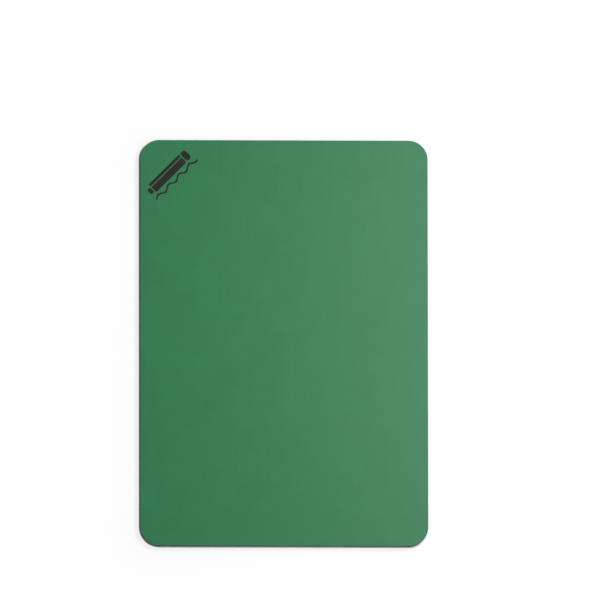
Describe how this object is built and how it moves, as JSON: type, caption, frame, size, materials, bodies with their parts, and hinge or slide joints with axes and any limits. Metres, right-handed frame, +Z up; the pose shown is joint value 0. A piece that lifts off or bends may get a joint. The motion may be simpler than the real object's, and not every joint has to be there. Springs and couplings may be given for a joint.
{
  "type": "writing slate",
  "caption": "Thin rounded rectangular writing slate: hardboard panel with a green chalk face, a white dry-wipe marker face on the reverse and a dark sealed edge.",
  "frame": {"origin": "centre of the board's outline, on the surface that the marker face rests on", "axes": "+X across the board to the right, +Y along its length to the top edge, +Z up out of the chalk face"},
  "size_m": [0.21, 0.297, 0.0057],
  "materials": {
    "hardboard": "matte",
    "chalk_laminate": "matte",
    "marker_laminate": "gloss",
    "glue": "satin",
    "edge_lacquer": "satin"
  },
  "bodies": {
    "root": {"hardboard_core": "hardboard", "chalk_sheet": "chalk_laminate", "marker_sheet": "marker_laminate", "chalk_glue_film": "glue", "marker_glue_film": "glue", "edge_seal": "edge_lacquer"}
  },
  "joints": []
}
